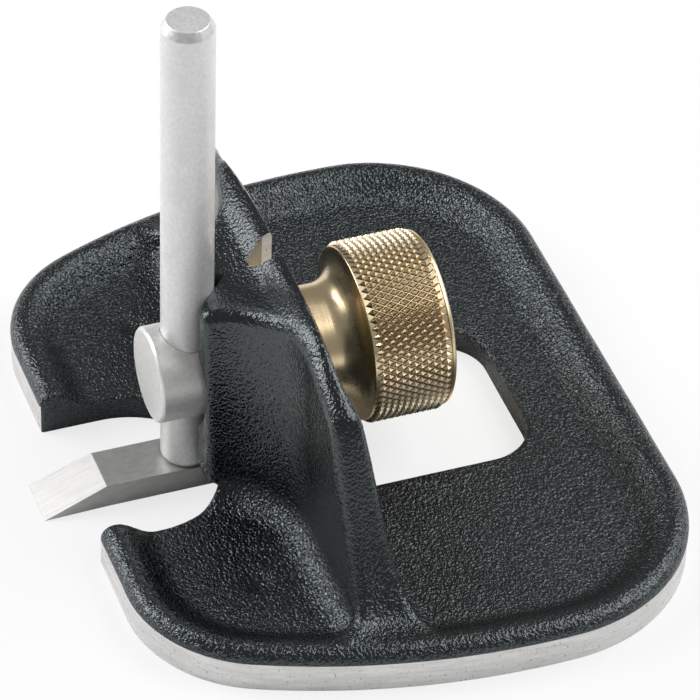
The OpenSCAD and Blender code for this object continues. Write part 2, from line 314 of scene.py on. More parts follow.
class CastForm:
    """The casting's form as a field: below zero inside the metal, in millimetres."""

    # Plan: reach across, to the front and to the rear, the bowed sides and the corners
    half_width, front, rear = 42.3, 13.8, 50.6
    side_radius, side_mid = 84.0, 28.4
    front_corner, rear_corner = 16.0, 20.0
    # Wall: crest in the middle, its fall to the shoulder, its growth towards the rim
    crest_top, crest_fall, crest_power = 30.4, 4.4, 0.69
    wall_thicken, wall_spread, wall_forward = 2.4, 3.8, 5
    wall_stop, sink, valley_depth = 2.2, 0.3, 0.55
    ridge_thin, ridge_more = 0.5, 1.0
    # Post: half-widths at its top and foot, flare into the wall, fall of its top to the front
    post_top, post_foot, post_flare, flare_power = 5.7, 8.4, 9.0, 2.2
    top_fall, post_inset = 3.0, 0.6
    # Roundings: wall front, post sides, post top, post to wall, mouth edge, window edge
    round_front, round_side, round_top = 1.7, 1.1, 1.5
    round_root, round_mouth, round_window = 1.2, 0.45, 0.5
    # Mouth: height of its roof and where it ends; window: its corners and its gap to the wall
    relief, mouth_end = 4.9, 4.575
    window_corner, window_gap = 5.8, 0.3
    # Dimple in the front floor: place, and the ball that presses it
    mark, ball, mark_depth, mark_round = (22.8, 0.8), 5.0, 0.34, 0.12
    # Rear groove: half-width against depth from the wall's rear face
    groove = [(-4.5, 3.85), (0.0, 2.35), (1.2, 1.95), (2.9, 1.1), (3.3, 0.75), (3.46, 0.35)]
    # The field's lowest level, cut off later at the sole
    below = -1.2

    def __init__(self, size):
        self.size = size
        self.side_x = self.half_width - self.side_radius
        self.corners = []
        for radius, y, turn in (
            (self.front_corner, self.front_corner - self.front, -1),
            (self.rear_corner, self.rear - self.rear_corner, 1),
        ):
            reach = sqrt((self.side_radius - radius) ** 2 - (y - self.side_mid) ** 2)
            x = self.side_x + reach
            edge = atan2(y - self.side_mid, x - self.side_x)
            self.corners.append((x, y, radius, turn, edge))
        self.rim_top = size["band_height"] + size["rim_rise"]
        self.wall_end = self.half_width - size["rim_in"] - self.wall_stop
        self.rim_table()
        self.wall_table()

    def inset(self, x, y):
        """How far a plan point lies in from the flank."""
        x = np.abs(x)
        side = self.side_radius - np.hypot(x - self.side_x, y - self.side_mid)
        d = np.minimum(np.minimum(side, y + self.front), self.rear - y)
        for cx, cy, radius, turn, edge in self.corners:
            angle = np.arctan2(y - cy, x - cx) * turn
            inside = (angle >= edge * turn) & (angle <= pi / 2)
            d = np.where(inside, radius - np.hypot(x - cx, y - cy), d)
        return d

    def rim_height(self, d):
        """Height of the cast top at a distance in from the flank, without the wall."""
        s = self.size
        edge = np.clip(1 - d / s["rim_in"], 0, 1)
        up = s["band_height"] + s["rim_rise"] * np.sqrt(np.maximum(0, 1 - edge**2))
        t = np.clip((d - s["rim_in"]) / s["rim_fall"], 0, 1)
        down = s["floor"] + (self.rim_top - s["floor"]) * (1 + np.cos(pi * t)) / 2
        return np.where(d < s["rim_in"], up, down)

    def rim_table(self):
        """Distances to the rim's section, kept on a fine table."""
        s = self.size
        self.table_step = 0.06
        self.table_d = np.arange(-2, 10, self.table_step)
        self.table_z = np.arange(-3, 9, self.table_step)
        line = [(0.0, -12.0)]
        low, rise, inward = s["band_height"], s["rim_rise"], s["rim_in"]
        for v in np.linspace(0, pi / 2, 16):
            line.append((inward * (1 - cos(v)), low + rise * sin(v)))
        for v in np.linspace(inward + 0.2, 7.5, 30):
            line.append((v, float(self.rim_height(np.array(v)))))
        line = np.array(line + [(30.0, s["floor"])])
        d, z = np.meshgrid(self.table_d, self.table_z, indexing="ij")
        best = np.full(d.shape, 1e9)
        for p, q in zip(line, line[1:]):
            e = q - p
            t = np.clip(((d - p[0]) * e[0] + (z - p[1]) * e[1]) / (e @ e), 0, 1)
            best = np.minimum(best, np.hypot(d - p[0] - t * e[0], z - p[1] - t * e[1]))
        inside = (d > 0) & (z < self.rim_height(d))
        self.table = np.where(inside, -best, best)

    def place_in(self, values, table):
        """The row of the table below each value, and how far past it the value is."""
        at = (np.clip(values, table[0], table[-2]) - table[0]) / self.table_step
        row = np.minimum(at.astype(int), len(table) - 2)
        return row, at - row

    def rim_distance(self, d, z):
        """Distance to the base's top and flank, read from the table."""
        (i, u), (j, v), t = self.place_in(d, self.table_d), self.place_in(z, self.table_z), self.table
        low = t[i, j] * (1 - u) + t[i + 1, j] * u
        high = t[i, j + 1] * (1 - u) + t[i + 1, j + 1] * u
        over = np.maximum(0, z - self.table_z[-2]) + np.maximum(0, self.table_d[0] - d)
        return low * (1 - v) + high * v + over

    def wall_table(self):
        """Crest, front face and rear face of the wall by distance out from the middle."""
        s = self.size
        x = self.wall_x = np.arange(0, 46, 0.05)
        past = x - s["shoulder"]
        run = np.clip(past / (self.wall_end - s["shoulder"]), 0, 1)
        drop = self.crest_top - self.crest_fall - self.rim_top + self.sink
        flat = self.crest_top - self.crest_fall * (x / s["shoulder"]) ** 3
        steep = self.rim_top - self.sink + drop * (1 + np.cos(pi * run**self.crest_power)) / 2
        self.crest = np.where(past <= 0, flat, steep)
        forward = self.wall_forward * (np.maximum(0, run - 0.6) / 0.4) ** 2
        swell = soft_step(past / 12 + 0.54)
        spread = (np.maximum(0, run - 0.2) / 0.8) ** 1.8
        self.face_front = s["wall_rear"] - s["wall_thick"] - forward
        self.face_rear = s["wall_rear"] + self.wall_thicken * swell + self.wall_spread * spread
        self.ridge = self.ridge_thin + self.ridge_more * soft_step(past / 6 + 0.9)
        self.valley = self.valley_depth * np.clip(run * 2.2, 0, 1) * np.clip((1 - run) * 5, 0, 1)
        self.fillet = 0.5 + (s["fillet"] - 0.5) * (1 - run**3)

    def along(self, x, values):
        """Reads one of the wall's curves at a distance out."""
        return np.interp(x, self.wall_x, values)

    def field(self, p):
        """The cast form's field at points."""
        s = self.size
        x, y, z = np.abs(p[:, 0]), p[:, 1], p[:, 2]
        d = self.inset(x, y)
        base = self.rim_distance(d, z)

        front, rear = self.along(x, self.face_front), self.along(x, self.face_rear)
        crest = self.along(x, self.crest)
        slope = self.along(x, np.gradient(self.crest, self.wall_x))
        lean = self.along(x, np.gradient(self.face_rear, self.wall_x))
        across = np.clip(1 - ((2 * y - front - rear) / (rear - front)) ** 2, 0, 1)
        top = (z - crest + self.along(x, self.valley) * across) / np.sqrt(1 + np.minimum(slope**2, 9))
        wall = meet(front - y, top, self.round_front)
        wall = meet(wall, (y - rear) / np.sqrt(1 + lean**2), self.along(x, self.ridge))
        wall = np.maximum(wall, s["rim_in"] - d)

        deep = s["wall_rear"] - s["wall_thick"] + 0.5
        t = np.clip(y / deep, 0, 1.1)
        up = np.clip((z - s["floor"]) / (self.crest_top - self.top_fall - s["floor"]), 0, 1)
        side = self.post_foot + (self.post_top - self.post_foot) * up
        side = side + self.post_flare * t**self.flare_power
        tilt = self.post_flare * self.flare_power * t ** (self.flare_power - 1) / deep
        post = meet((x - side) / np.sqrt(1 + tilt**2), -y, self.round_side)
        peak = self.crest_top - self.top_fall * (1 - (y / s["wall_rear"]) ** 2)
        post = meet(post, z - peak, self.round_top)
        post = np.maximum(post, y - s["wall_rear"] + self.post_inset)
        raised = join(wall, post, self.round_root)
        body = join(base, raised, self.along(x, self.fillet))

        mouth_r = s["mouth_width"] / 2
        mouth_y = self.mouth_end - mouth_r
        slot = np.where(y < mouth_y, x - mouth_r, np.hypot(x, y - mouth_y) - mouth_r)
        roof = (z - self.relief - 2 * np.maximum(0, -y - 2)) / 2
        body = meet(body, -np.maximum(slot, roof), self.round_mouth)

        corner = self.window_corner
        half_x = s["window_width"] / 2 - corner
        low, high = s["wall_rear"] + self.window_gap, s["window_rear"]
        half_y = (high - low) / 2 - corner
        qx, qy = x - half_x, np.abs(y - (high + low) / 2) - half_y
        outside = np.hypot(np.maximum(qx, 0), np.maximum(qy, 0))
        opening = outside + np.minimum(np.maximum(qx, qy), 0) - corner
        body = meet(body, -np.maximum(opening, z - s["floor"] - s["fillet"]), self.round_window)

        lift = z - s["floor"] - self.ball + self.mark_depth
        mark = self.ball - np.sqrt((x - self.mark[0]) ** 2 + (y - self.mark[1]) ** 2 + lift**2)
        body = meet(body, mark, self.mark_round)
        return np.maximum(body, self.below - z)


CORNERS = [(i, j, k) for i in (0, 1) for j in (0, 1) for k in (0, 1)]


def soft_step(t):
    """Rises smoothly from 0 to 1."""
    u = np.clip(t, 0, 1)
    return u * u * (3 - 2 * u)


def meet(a, b, radius):
    """What two fields share, its edge rounded."""
    u, v = np.maximum(radius + a, 0), np.maximum(radius + b, 0)
    return np.minimum(-radius, np.maximum(a, b)) + np.hypot(u, v)


def join(a, b, radius):
    """Both fields together, the corner between them filled."""
    u, v = np.maximum(radius - a, 0), np.maximum(radius - b, 0)
    return np.maximum(radius, np.minimum(a, b)) - np.hypot(u, v)


def skin(form, cell):
    """Closed mesh of squares over a field: its points and faces."""
    room = 1.5
    half = int(ceil((form.half_width + room) / cell))
    xs = np.arange(0, half + 1) * cell
    ys = np.arange(-form.front - room, form.rear + room, cell)
    zs = np.arange(form.below - 1.0, form.crest_top + room, cell)
    gx, gy, gz = np.meshgrid(xs, ys, zs, indexing="ij")
    half_field = form.field(np.stack([gx.ravel(), gy.ravel(), gz.ravel()], 1)).reshape(gx.shape)
    field = np.concatenate([half_field[:0:-1], half_field], 0)
    origin = np.array([-half * cell, ys[0], zs[0]])

    inside = field < 0
    shape = [n - 1 for n in field.shape]
    count = 0
    for i, j, k in CORNERS:
        count = count + inside[i : i + shape[0], j : j + shape[1], k : k + shape[2]].astype(np.int8)
    cells = np.argwhere((count > 0) & (count < 8))
    index = np.full(shape, -1, dtype=np.int64)
    index[tuple(cells.T)] = np.arange(len(cells))
    value = {c: field[tuple((cells + c).T)] for c in CORNERS}
    total, hits = np.zeros((len(cells), 3)), np.zeros(len(cells))
    for a in CORNERS:
        for axis in range(3):
            if a[axis]:
                continue
            b = tuple(1 if n == axis else a[n] for n in range(3))
            crossed = (value[a] < 0) != (value[b] < 0)
            t = np.where(crossed, value[a] / np.where(crossed, value[a] - value[b], 1), 0)
            point = np.tile(np.array(a, float), (len(cells), 1))
            point[:, axis] += t
            total += point * crossed[:, None]
            hits += crossed
    points = origin + (cells + total / hits[:, None]) * cell

    faces = []
    for axis in range(3):
        u, v = (axis + 1) % 3, (axis + 2) % 3
        step = np.eye(3, dtype=int)
        first = inside[tuple(slice(0, -1) if n == axis else slice(None) for n in range(3))]
        second = inside[tuple(slice(1, None) if n == axis else slice(None) for n in range(3))]
        at = np.argwhere(first != second)
        at = at[(at[:, u] > 0) & (at[:, v] > 0)]
        leaving = first[tuple(at.T)]
        ring = [index[tuple((at - d).T)] for d in (step[u] + step[v], step[v], 0 * step[u], step[u])]
        quad = np.stack(ring, 1)
        faces.append(quad[leaving])
        faces.append(quad[~leaving][:, ::-1])
    return points, np.concatenate(faces)


def settle(form, points, cell):
    """Moves the points onto the form's surface, and gives its normals there."""
    step = 0.02
    for _ in range(3):
        here = form.field(points)
        grad = np.zeros_like(points)
        for axis, way in enumerate(np.eye(3) * step):
            grad[:, axis] = (form.field(points + way) - form.field(points - way)) / (2 * step)
        size = np.maximum(np.sum(grad**2, 1), 0.05)
        move = -here[:, None] * grad / size[:, None]
        reach = np.maximum(1, np.linalg.norm(move, axis=1) / (0.4 * cell))
        points = points + move / reach[:, None]
    return points, grad / np.sqrt(np.maximum(np.sum(grad**2, 1), 1e-9))[:, None]


def waves(points, wavelength, seed):
    """Smooth random heights at points: value noise on a lattice of that spacing."""
    size = 64
    lattice = np.random.default_rng(seed).uniform(-1, 1, (size, size, size))
    base = np.floor(points / wavelength).astype(int)
    t = soft_step(points / wavelength - base)
    total = 0
    for corner in CORNERS:
        share = np.prod(np.where(corner, t, 1 - t), axis=1)
        total = total + share * lattice[tuple(((base + corner) % size).T)]
    return total


def plan_ring(form, inward):
    """The casting's plan outline drawn in by a distance, counter-clockwise."""
    out = []
    front, rear = form.corners
    side = (form.side_x, form.side_mid, form.side_radius)
    turns = (-pi / 2, front[4], rear[4], pi / 2)
    for (cx, cy, radius), a0, a1 in zip((front[:3], side, rear[:3]), turns, turns[1:]):
        for a in np.linspace(a0, a1, 40):
            out.append((cx + (radius - inward) * cos(a), cy + (radius - inward) * sin(a)))
    right = [p for k, p in enumerate(out) if k == 0 or dist(p, out[k - 1]) > 1e-4]
    left = [(-x, y) for x, y in reversed(right)]
    return right + left


class ROUTER_OT_casting(Operator):
    """Build the body casting, its painted skin and its machined faces"""

    bl_idname = "router.casting"
    bl_label = "Body casting"

    def execute(self, context):
        s = sizes(CastingSizes)
        form = CastForm(s)
        points, faces = skin(form, s["cell"])
        points, normals = settle(form, points, s["cell"])
        peel = waves(points, 0.95, 3) + 0.6 * waves(points, 0.7, 5)
        height = s["peel"] * peel + 0.03 * waves(points, 6.0, 7)
        casting = add_piece("casting", points + normals * height[:, None], faces)

        apex = (half_width(SHANK_BOX) + 0.05) * sqrt(2)
        past, z = 3, CLAMP_Z / MM
        deep, top = apex + past, form.crest_top + past
        rear = s["wall_rear"]
        rear_notch = [(-half, rear - depth) for depth, half in form.groove]
        rear_notch += [(half, rear - depth) for depth, half in reversed(form.groove)]
        recess_y = ends(COLLAR_BOX)[1] + 0.5
        cutters = [
            prism("under", [(-60, -40), (60, -40), (60, 70), (-60, 70)], -6, 0),
            self.band(form, s["band_height"]),
            prism("notch", [(0, apex), (-deep, apex - deep), (deep, apex - deep)], -past, top),
            prism("rear_notch", rear_notch, -past, top),
            rod("recess", half_width(COLLAR_BOX) + 1.1, recess_y + past, (0, -past, z)),
            rod("bore", half_width(STUD_BOX) + 0.3, 20, (0, 0, z)),
        ]
        cut(casting, cutters, 32)
        self.paint(casting, s, form, apex)
        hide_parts("body_casting")
        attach(casting, "body")
        return {"FINISHED"}

    def band(self, form, height):
        """A ring round the flank that cuts the band, machined a little below the cast skin."""
        rings = (plan_ring(form, -2.5), plan_ring(form, 0.08))
        points = [(x, y, z) for z in (-4, height) for ring in rings for x, y in ring]
        n = len(rings[0])
        faces = []
        for k in range(n):
            m = (k + 1) % n
            for a, b in ((0, 2), (3, 1), (1, 0), (2, 3)):
                faces.append((a * n + k, a * n + m, b * n + m, b * n + k))
        return add_piece("band", points, faces)

    def paint(self, casting, s, form, apex):
        """Gives each face the enamel or a machined finish, by where it is and how it faces; the front
        groove, recess, bore and the rear groove's depth get machined iron darkened as painted shade.
        """
        enamelled, machined, shaded_bore, shaded_depth = range(4)
        coat(
            casting,
            enamel_material(),
            machined_material(),
            # Machined iron darkened as painted shade: for the front groove, recess and bore, and for
            # the rear groove's depth
            bore_material("machined groove", 0.16),
            bore_material("worn groove", 0.42),
        )
        mesh = casting.data
        count = len(mesh.polygons)
        centre, normal = np.zeros(count * 3), np.zeros(count * 3)
        mesh.polygons.foreach_get("center", centre)
        mesh.polygons.foreach_get("normal", normal)
        p = centre.reshape(-1, 3) / MM
        p[:, 1] -= AXIS_Y / MM
        n = normal.reshape(-1, 3)
        x, y, z = np.abs(p[:, 0]), p[:, 1], p[:, 2]
        nx, ny, nz = np.abs(n[:, 0]), n[:, 1], np.abs(n[:, 2])
        kind = np.full(count, enamelled, dtype=np.int32)
        # The band round the flank, and the sole
        kind[(z < s["band_height"] - 0.02) & (form.inset(x, y) < 0.11) & (nz < 0.3)] = machined
        kind[(z < 0.01) & (n[:, 2] < -0.9)] = machined
        # The rear groove, its depth darkened as painted shade
        deep, dark_from, end_face = s["wall_rear"] - y, 1.25, 3.2
        half = np.interp(deep, *zip(*form.groove))
        in_groove = (np.abs(x - half) < 0.12) & (nz < 0.01) & (ny > 0.15)
        in_groove &= (deep < 3.6) & ((ny < 0.97) | (deep > end_face))
        kind[in_groove] = machined
        # Painted shade: faces deeper than dark_from get the darker machined iron
        kind[in_groove & (deep > dark_from)] = shaded_depth
        # The front groove, the clamp's recess and the stud's bore, darkened as painted shade
        slant = (np.abs(nx - sqrt(0.5)) < 0.01) & (ny < -0.6)
        kind[slant & (np.abs(y - apex + x) < 0.05)] = shaded_bore
        recess, recess_end, bore = 6.62, 4.9, 3.45
        around = np.hypot(x, z - CLAMP_Z / MM)
        kind[(around < recess) & (y < recess_end) & (np.abs(ny) > 0.99)] = shaded_bore
        kind[(around < bore) & (np.abs(ny) < 0.05)] = shaded_bore
        mesh.polygons.foreach_set("material_index", kind)
        mesh.update()


# ---- clamp and knob


class ROUTER_OT_collar(Operator):
    """Build the turned collar with its cross hole for the shank"""

    bl_idname = "router.collar"
    bl_label = "Clamp collar"

    def execute(self, context):
        s = sizes(BladeSizes)
        radius = half_width(COLLAR_BOX)
        y0, y1 = ends(COLLAR_BOX)
        z = CLAMP_Z / MM
        long, bevel = y1 - y0, 0.3
        profile = [(0, 0), (0, radius - bevel), (bevel, radius)]
        profile += [(long - bevel, radius), (long, radius - bevel), (long, 0)]
        collar = lathe("clamp_collar_turned", rounded(profile, 0.12), (0, y0, z), steps=160)
        hole = rod("hole", s["bore_radius"], 20, (0, 0, z - 10), "Z", 160)
        seat = rod("seat", half_width(STUD_BOX), 4, (0, ends(STUD_BOX)[0], z))
        cut(collar, [hole, seat], 25)
        coat(collar, steel_material("collar"))
        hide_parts("clamp_collar")
        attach(collar, "clamp")
        return {"FINISHED"}


class ROUTER_OT_stud(Operator):
    """Build the threaded stud that draws the collar back"""

    bl_idname = "router.stud"
    bl_label = "Clamp stud"

    def execute(self, context):
        radius = half_width(STUD_BOX)
        y0, y1 = ends(STUD_BOX)
        pitch, depth, around, per_turn, plain = 1.27, 0.68, 48, 8, 5.0
        start, end = y0 + plain, y1 - 0.8
        rows = int((end - start) / pitch * per_turn)
        rings = [(y0, [radius] * around), (start - 0.3, [radius] * around)]
        for j in range(rows + 1):
            y = start + (end - start) * j / rows
            fade = min(1, j / per_turn, (rows - j) / 4)
            radii = []
            for k in range(around):
                phase = ((y - start) / pitch - k / around) % 1
                tooth = min(1, max(0, 1.25 - 2.5 * abs(phase - 0.5) - 0.1))
                radii.append(radius - depth * fade * (1 - tooth))
            rings.append((y, radii))
        rings.append((y1, [radius - 0.75] * around))
        angles = [2 * pi * k / around for k in range(around)]
        points = []
        for y, radii in rings:
            points += [(r * cos(a), y, r * sin(a)) for r, a in zip(radii, angles)]
        last = (len(rings) - 1) * around
        faces = [tuple(range(around - 1, -1, -1)), tuple(range(last, last + around))]
        for a in range(0, last, around):
            for k in range(around):
                m = (k + 1) % around
                faces.append((a + k, a + m, a + around + m, a + around + k))
        points = np.array(points) * (-1, 1, 1) + (0, 0, CLAMP_Z / MM)
        stud = add_piece("clamp_stud_threaded", points, faces, 30)
        outward(stud)
        coat(stud, steel_material("collar"))
        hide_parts("clamp_stud")
        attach(stud, "clamp")
        return {"FINISHED"}


def knurl_tree(material):
    """Node tree: rows of small diamonds set round a band, each a blunt four-sided point."""
    tree = bpy.data.node_groups.new("Diamond knurl", "GeometryNodeTree")
    face = tree.interface
    face.new_socket("Geometry", in_out="INPUT", socket_type="NodeSocketGeometry")
    for name in ("Around", "Rows"):
        face.new_socket(name, in_out="INPUT", socket_type="NodeSocketInt")
    for name in ("Radius", "Length", "Depth", "Blunt"):
        face.new_socket(name, in_out="INPUT", socket_type="NodeSocketFloat")
    face.new_socket("Geometry", in_out="OUTPUT", socket_type="NodeSocketGeometry")
    inputs = new_node(tree, "NodeGroupInput").outputs
    around, rows, radius, long, depth, blunt = (inputs[k] for k in range(1, 7))

    def node(kind, given=(), **settings):
        return new_node(tree, kind, given, **settings).outputs[0]

    def calc(operation, *values):
        return node("ShaderNodeMath", enumerate(values), operation=operation)

    def vector(x, y, z):
        return node("ShaderNodeCombineXYZ", {0: x, 1: y, 2: z})

    places = node("GeometryNodeMeshLine", {"Count": calc("MULTIPLY", around, rows)})
    index = node("GeometryNodeInputIndex")
    row = calc("MODULO", index, rows)
    column = calc("FLOOR", calc("DIVIDE", calc("ADD", index, 0.5), rows))
    shift = calc("MULTIPLY", calc("MODULO", row, 2), 0.5)
    turn = calc("DIVIDE", calc("ADD", column, shift), around)
    angle = calc("MULTIPLY", turn, 2 * pi)
    cosine, sine = calc("COSINE", angle), calc("SINE", angle)
    axial_half = calc("DIVIDE", long, calc("ADD", rows, 1))
    along = calc("MULTIPLY", calc("ADD", row, 1), axial_half)
    spot = vector(calc("MULTIPLY", cosine, radius), along, calc("MULTIPLY", sine, radius))
    moved = node("GeometryNodeSetPosition", {"Geometry": places, "Position": spot})

    shape = {"Vertices": 4, "Side Segments": 1, "Depth": 1.0}
    shape.update({"Radius Top": blunt, "Radius Bottom": 1.0})
    cone = node("GeometryNodeMeshCone", shape, fill_type="NGON")
    facing = {"Primary Axis": vector(cosine, 0.0, sine), "Secondary Axis": (0, 1, 0)}
    rotation = node("FunctionNodeAxesToRotation", facing, primary_axis="Z", secondary_axis="Y")
    half = calc("MULTIPLY", calc("DIVIDE", pi, around), calc("ADD", radius, 0.0001))
    scale = vector(half, axial_half, depth)
    each = {"Points": moved, "Instance": cone, "Rotation": rotation, "Scale": scale}
    real = node("GeometryNodeRealizeInstances", {0: node("GeometryNodeInstanceOnPoints", each)})
    finished = node("GeometryNodeSetMaterial", {"Geometry": real, "Material": material})
    new_node(tree, "NodeGroupOutput", {0: finished})
    return tree


class ROUTER_OT_knob(Operator):
    """Build the brass knob: turned neck, flare and head, and the diamond knurl"""

    bl_idname = "router.knob"
    bl_label = "Brass knob"

    def execute(self, context):
        s = sizes(KnobSizes)
        y0, y1 = ends(KNOB_BOX)
        z = CLAMP_Z / MM
        root = half_width(KNOB_BOX) - s["knurl_depth"]
        land = root + 0.12
        long = y1 - y0
        neck, flare0 = s["neck_radius"], s["neck_length"]
        head0 = flare0 + s["flare_length"]
        knurl0, knurl1 = head0 + 0.12, long - s["end_bevel"]
        rise = land - 0.45 - neck
        profile = [(0, 0), (0, neck - 0.25), (0.25, neck)]
        for k in range(15):
            a = radians(6 * k)
            profile.append((flare0 + s["flare_length"] * sin(a), neck + rise * (1 - cos(a))))
        profile += [(head0 + 0.02, land - 0.3), (head0 + 0.06, root - 0.05)]
        profile += [(knurl0, root), (knurl1 - 0.06, root), (knurl1, land)]
        profile += [(knurl1 + 0.12, land), (knurl1 + 0.3, land - 0.08), (knurl1 + 0.5, land - 0.35)]
        profile += [(long - 0.2, land - 2.2), (long, land - 3.4), (long, 0)]
        knob = lathe("knob_turned", profile, (0, y0, z), steps=192)
        past, closed = 2, 3.6
        radius, deep = half_width(STUD_BOX) + 0.05, long - closed
        hole = rod("hole", radius, deep + past, (0, y0 - past, z))
        cut(knob, [hole], 28)
        coat(knob, brass_material())

        band = add_piece("knob_knurl", [(0, 0, 0)], [])
        tool = modify(band, "NODES", node_group=knurl_tree(knurl_material()))
        sunk = 0.05 * MM
        given = {
            "Around": s["around"],
            "Rows": s["rows"],
            "Radius": root * MM - sunk,
            "Length": (knurl1 - knurl0) * MM,
            "Depth": s["knurl_depth"] * MM + sunk,
            "Blunt": 0.05,
        }
        for item in tool.node_group.interface.items_tree:
            if item.in_out == "INPUT" and item.name in given:
                tool[item.identifier] = given[item.name]
        bake(band)
        band.data.transform(Matrix.Translation((0, (y0 + knurl0) * MM + AXIS_Y, CLAMP_Z)))
        outward(band)
        for piece in (knob, band):
            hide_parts("clamp_knob")
            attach(piece, "knob")
        return {"FINISHED"}


# ---- blade


class ROUTER_OT_shank(Operator):
    """Build the blade's round shank"""

    bl_idname = "router.shank"
    bl_label = "Blade shank"

    def execute(self, context):
        s = sizes(BladeSizes)
        radius = half_width(SHANK_BOX)
        low = 0.9
        seat, top = FOOT_BOX[1][2] / MM - low, SHANK_BOX[1][2] / MM - low
        neck = ((0.02, 0.5), (0.05, 0.22), (0.3, 0.16), (0.42, 0))
        profile = [(0, 0), (0, radius - 0.5)] + [(seat + up, radius - less) for up, less in neck]
        profile += [(top - s["top_chamfer"], radius), (top, radius - 0.6), (top, 0)]
        shank = lathe("blade_shank_round", rounded(profile, 0.1), (0, 0, low), "Z", 160, 24)
        coat(shank, steel_material("shank"))
        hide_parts("blade_shank")
        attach(shank, "blade")
        return {"FINISHED"}


class ROUTER_OT_foot(Operator):
    """Build the blade's foot with its ground bevel"""

    bl_idname = "router.foot"
    bl_label = "Blade foot"

    def execute(self, context):
        s = sizes(BladeSizes)
        low, high = FOOT_BOX[0][2] / MM, FOOT_BOX[1][2] / MM
        tip, heel = ends(FOOT_BOX)
        edge = half_width(FOOT_BOX)
        wide = edge - 0.2
        back = tip + s["bevel_length"]
        points = []
        for y in (heel, back):
            points += [(wide, y, low), (-wide, y, low), (-wide, y, high), (wide, y, high)]
        points += [(edge, tip, low), (-edge, tip, low)]
        faces = [
            (0, 3, 2, 1), (3, 7, 6, 2), (7, 8, 9, 6), (0, 1, 5, 4), (4, 5, 9, 8),
            (0, 4, 7, 3), (4, 8, 7), (1, 2, 6, 5), (5, 6, 9),
        ]
        foot = add_piece("blade_foot_ground", points, faces)
        outward(foot)
        width, angle = s["edge_break"] * MM, radians(20)
        modify(foot, "BEVEL", width=width, segments=3, limit_method="ANGLE", angle_limit=angle)
        bake(foot)
        gap = 0.12
        groove = rod("groove", half_width(SHANK_BOX) + gap, 2, (0, 0, high - gap), "Z", 96)
        cut(foot, [groove], 30)
        coat(foot, steel_material("foot"), steel_material("bevel"))
        slope = Vector((0, -(high - low), s["bevel_length"])).normalized()
        for face in foot.data.polygons:
            face.material_index = 1 if face.normal.dot(slope) > 0.999 else 0
        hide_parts("blade_foot")
        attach(foot, "blade")
        return {"FINISHED"}


# ---- materials


class Shader:
    """A short way to write a material's nodes."""

    def __init__(self, name):
        self.material = bpy.data.materials.new(name)
        self.material.use_nodes = True
        self.tree = self.material.node_tree
        self.surface = self.tree.nodes["Principled BSDF"]
        self.where = self.node("ShaderNodeTexCoord").outputs["Object"]

    def node(self, kind, given=(), **settings):
        return new_node(self.tree, kind, given, **settings)

    def set(self, **values):
        for key, value in values.items():
            self.surface.inputs[key.replace("_", " ")].default_value = value

    def put(self, source, target):
        self.tree.links.new(source, self.surface.inputs[target])

    def mapping(self, scale, shift=(0, 0, 0)):
        given = {"Scale": scale, "Location": shift, "Vector": self.where}
        return self.node("ShaderNodeMapping", given).outputs[0]

    def noise(self, scale, detail=3.0, roughness=0.55, where=None, distortion=0.0):
        given = {"Scale": scale, "Detail": detail, "Roughness": roughness}
        given.update({"Distortion": distortion, "Vector": where or self.where})
        return self.node("ShaderNodeTexNoise", given).outputs["Fac"]

    def radius(self, axis_z):
        """Distance from the line along Y at a height."""
        flat = self.mapping((1, 0, 1), (0, 0, -axis_z))
        return self.node("ShaderNodeVectorMath", {0: flat}, operation="LENGTH").outputs["Value"]

    def height(self):
        return self.node("ShaderNodeSeparateXYZ", {0: self.where}).outputs["Z"]

    def span(self, value, low, high, to_low=0, to_high=1):
        given = {"Value": value, "From Min": low, "From Max": high}
        given.update({"To Min": to_low, "To Max": to_high})
        return self.node("ShaderNodeMapRange", given).outputs["Result"]

    def combine(self, operation, a, b):
        return self.node("ShaderNodeMath", {0: a, 1: b}, operation=operation).outputs[0]

    def blend(self, share, first, second):
        """Mixes two colours, each an output or three plain values."""
        a, b = ((*c, 1.0) if isinstance(c, tuple) else c for c in (first, second))
        return self.node("ShaderNodeMix", {"Factor": share, 6: a, 7: b}, data_type="RGBA").outputs[2]

    def bump(self, height, depth):
        given = {"Strength": 1.0, "Distance": depth, "Height": height}
        return self.node("ShaderNodeBump", given).outputs["Normal"]


def tint(colour_value, factor):
    """A colour made lighter or darker."""
    return tuple(min(1.0, c * factor) for c in colour_value)


def paint_colour(key):
    return tuple(getattr(bpy.context.scene.router_finishes, key))


def enamel_material():
    """Black enamel over a cast skin, with a fine peel that is strongest on the low floor."""
    m = Shader("black enamel")
    base = paint_colour("enamel")
    patches = m.noise(160, 4, 0.6)
    m.put(m.blend(m.span(patches, 0.35, 0.7), base, tint(base, 1.7)), "Base Color")
    m.set(Specular_IOR_Level=0.9, Specular_Tint=(0.86, 0.96, 1.0, 1.0))
    m.put(m.span(m.noise(900, 3, 0.6), 0.3, 0.7, 0.09, 0.15), "Roughness")
    peel = m.noise(2900, 1.2, 0.55, distortion=0.4)
    high = m.span(m.height(), 0.0035, 0.0055, 1.0, 0.62)
    higher = m.span(m.height(), 0.008, 0.014, 1.0, 0.6)
    relief = m.combine("MULTIPLY", peel, m.combine("MULTIPLY", high, higher))
    m.put(m.bump(relief, 0.0003), "Normal")
    return m.material


def machined_material():
    """Ground iron: light grey, fine lines along it, small dark pores."""
    m = Shader("machined iron")
    base = paint_colour("machined")
    lines = m.noise(1800, 3, 0.6, m.mapping((0.12, 0.12, 1.0)))
    pores = m.span(m.noise(2600, 2, 0.6), 0.62, 0.72)
    tone = m.blend(m.span(lines, 0.3, 0.7), tint(base, 0.9), tint(base, 1.12))
    m.put(m.blend(pores, tone, tint(base, 0.55)), "Base Color")
    m.set(Metallic=0.6)
    m.put(m.span(m.noise(1200, 2, 0.5), 0.3, 0.7, 0.42, 0.6), "Roughness")
    m.put(m.bump(lines, 0.00003), "Normal")
    return m.material


